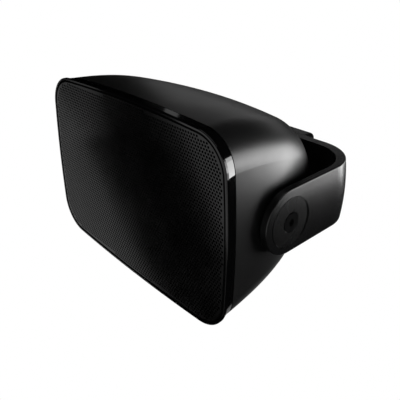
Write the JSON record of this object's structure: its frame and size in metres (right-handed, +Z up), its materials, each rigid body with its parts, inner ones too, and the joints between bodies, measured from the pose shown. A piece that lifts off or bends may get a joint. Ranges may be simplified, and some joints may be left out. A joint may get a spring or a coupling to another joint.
{
  "type": "outdoor patio speaker",
  "caption": "Weatherproof two-way speaker with a tapered cabinet and perforated grille, held in a U-shaped yoke that tilts on a wall plate.",
  "frame": {"origin": "centre of the wall plate's back face, in the plane of the wall", "axes": "+Y into the wall, so the grille faces -Y; +X to the right along the face; +Z up"},
  "size_m": [0.2756, 0.18, 0.179],
  "materials": {
    "satin_cabinet": "satin",
    "gloss_band": "gloss",
    "grille_metal": "satin",
    "grille_cloth": "matte",
    "bracket_coat": "satin",
    "pivot_cover": "matte",
    "black_steel": "satin",
    "washer_plastic": "matte",
    "brass": "satin",
    "seal_rubber": "matte",
    "cast_frame": "satin",
    "motor_steel": "satin",
    "magnet": "matte",
    "cone_fibre": "matte",
    "coil_former": "satin",
    "copper": "satin",
    "spider_cloth": "matte",
    "tweeter_moulding": "satin",
    "dome_metal": "satin",
    "board_laminate": "satin",
    "capacitor_sleeve": "gloss",
    "resistor_cement": "matte",
    "lead_sleeve": "satin",
    "terminal_moulding": "satin",
    "cap_red": "gloss",
    "cap_black": "gloss"
  },
  "bodies": {
    "bracket": {"wall_plate": "bracket_coat", "yoke": "bracket_coat", "yoke_bolts": "black_steel", "pivot_disc_left": "pivot_cover", "pivot_disc_right": "pivot_cover"},
    "speaker": {"cabinet": "satin_cabinet", "front_baffle": "gloss_band", "grille": "grille_metal", "terminal_plate": "terminal_moulding", "terminal_screws": "black_steel", "terminal_post_red": "brass", "terminal_post_black": "brass", "pivot_bolt_left": "black_steel", "pivot_bolt_right": "black_steel", "friction_washer_left": "washer_plastic", "friction_washer_right": "washer_plastic", "baffle_seal": "seal_rubber", "baffle_screws": "black_steel", "grille_cloth": "grille_cloth", "woofer_basket": "cast_frame", "woofer_seal": "seal_rubber", "woofer_screws": "black_steel", "woofer_top_plate": "motor_steel", "woofer_magnet": "magnet", "woofer_pole": "motor_steel", "woofer_spider": "spider_cloth", "woofer_surround": "seal_rubber", "tweeter_faceplate": "tweeter_moulding", "tweeter_seal": "seal_rubber", "tweeter_screws": "black_steel", "tweeter_dome": "dome_metal", "tweeter_voice_coil": "copper", "tweeter_top_plate": "motor_steel", "tweeter_magnet": "magnet", "tweeter_pole": "motor_steel", "tweeter_cup": "tweeter_moulding", "crossover_board": "board_laminate", "crossover_inductors": "copper", "crossover_capacitors": "capacitor_sleeve", "crossover_resistor": "resistor_cement", "board_screws": "black_steel", "terminal_seal": "seal_rubber", "pivot_insert_left": "brass", "pivot_insert_right": "brass", "input_leads": "lead_sleeve", "woofer_leads": "lead_sleeve", "tweeter_leads": "lead_sleeve", "terminal_spring_red": "motor_steel", "terminal_spring_black": "motor_steel"},
    "cone": {"woofer_cone": "cone_fibre", "woofer_dust_cap": "cone_fibre", "voice_coil_former": "coil_former", "voice_coil_winding": "copper"},
    "button_red": {"terminal_button_red": "cap_red"},
    "button_black": {"terminal_button_black": "cap_black"}
  },
  "joints": [
    {"name": "tilt", "type": "hinge", "parent": "bracket", "child": "speaker", "pos_m": [0, -0.1145, 0], "axis": [1, 0, 0], "range_deg": [-90, 90]},
    {"name": "cone_travel", "type": "slide", "parent": "speaker", "child": "cone", "axis": [0, -1, 0], "range_m": [-0.004, 0.004], "stiffness_N_per_m": 1000, "deforming": ["woofer_surround", "woofer_spider"]},
    {"name": "button_red_push", "type": "slide", "parent": "speaker", "child": "button_red", "axis": [0, -1, 0], "range_m": [0, 0.0022], "stiffness_N_per_m": 1200, "springref_m": -0.001, "deforming": ["terminal_spring_red"]},
    {"name": "button_black_push", "type": "slide", "parent": "speaker", "child": "button_black", "axis": [0, -1, 0], "range_m": [0, 0.0022], "stiffness_N_per_m": 1200, "springref_m": -0.001, "deforming": ["terminal_spring_black"]}
  ]
}
